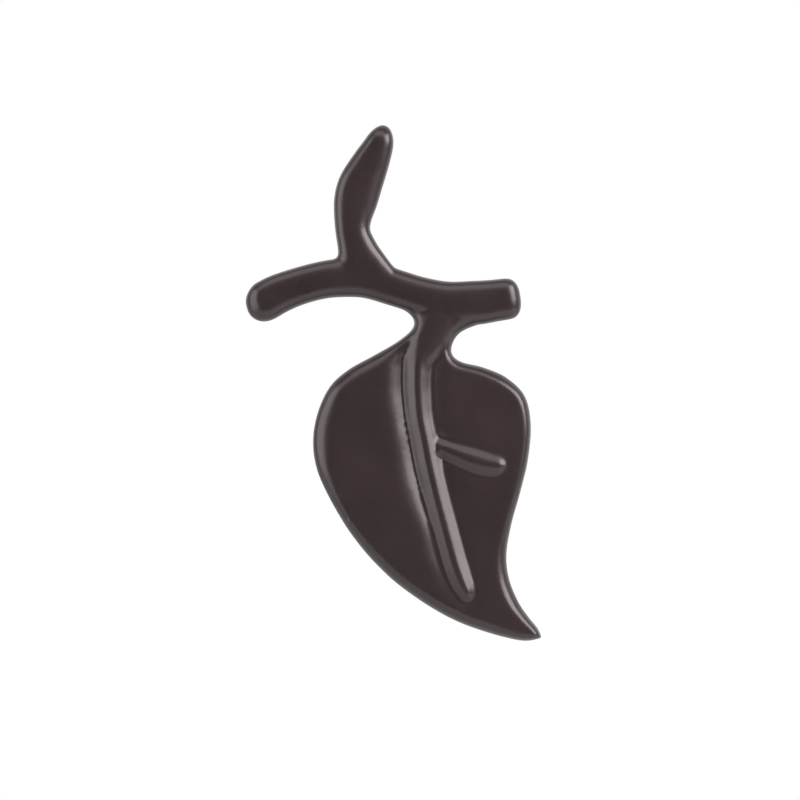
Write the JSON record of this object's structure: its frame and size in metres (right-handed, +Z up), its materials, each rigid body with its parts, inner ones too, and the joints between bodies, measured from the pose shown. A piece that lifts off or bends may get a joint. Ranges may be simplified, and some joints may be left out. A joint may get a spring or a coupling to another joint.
{
  "type": "cabinet knob",
  "caption": "Cast cabinet knob in the shape of a leaf hanging from a twig with a side bud, on a round screw post.",
  "frame": {"origin": "mouth of the screw hole, at the centre of the post's flat end, which rests on the door", "axes": "+Y out of the post's end, into the door; the front of the knob looks along -Y; +Z up, towards the bud's tip; +X to the right as seen from the front"},
  "size_m": [0.0438, 0.0242, 0.0763],
  "materials": {
    "lacquer": "satin dark brown lacquer over cast metal"
  },
  "bodies": {
    "root": {"knob_casting": "lacquer"}
  },
  "joints": []
}
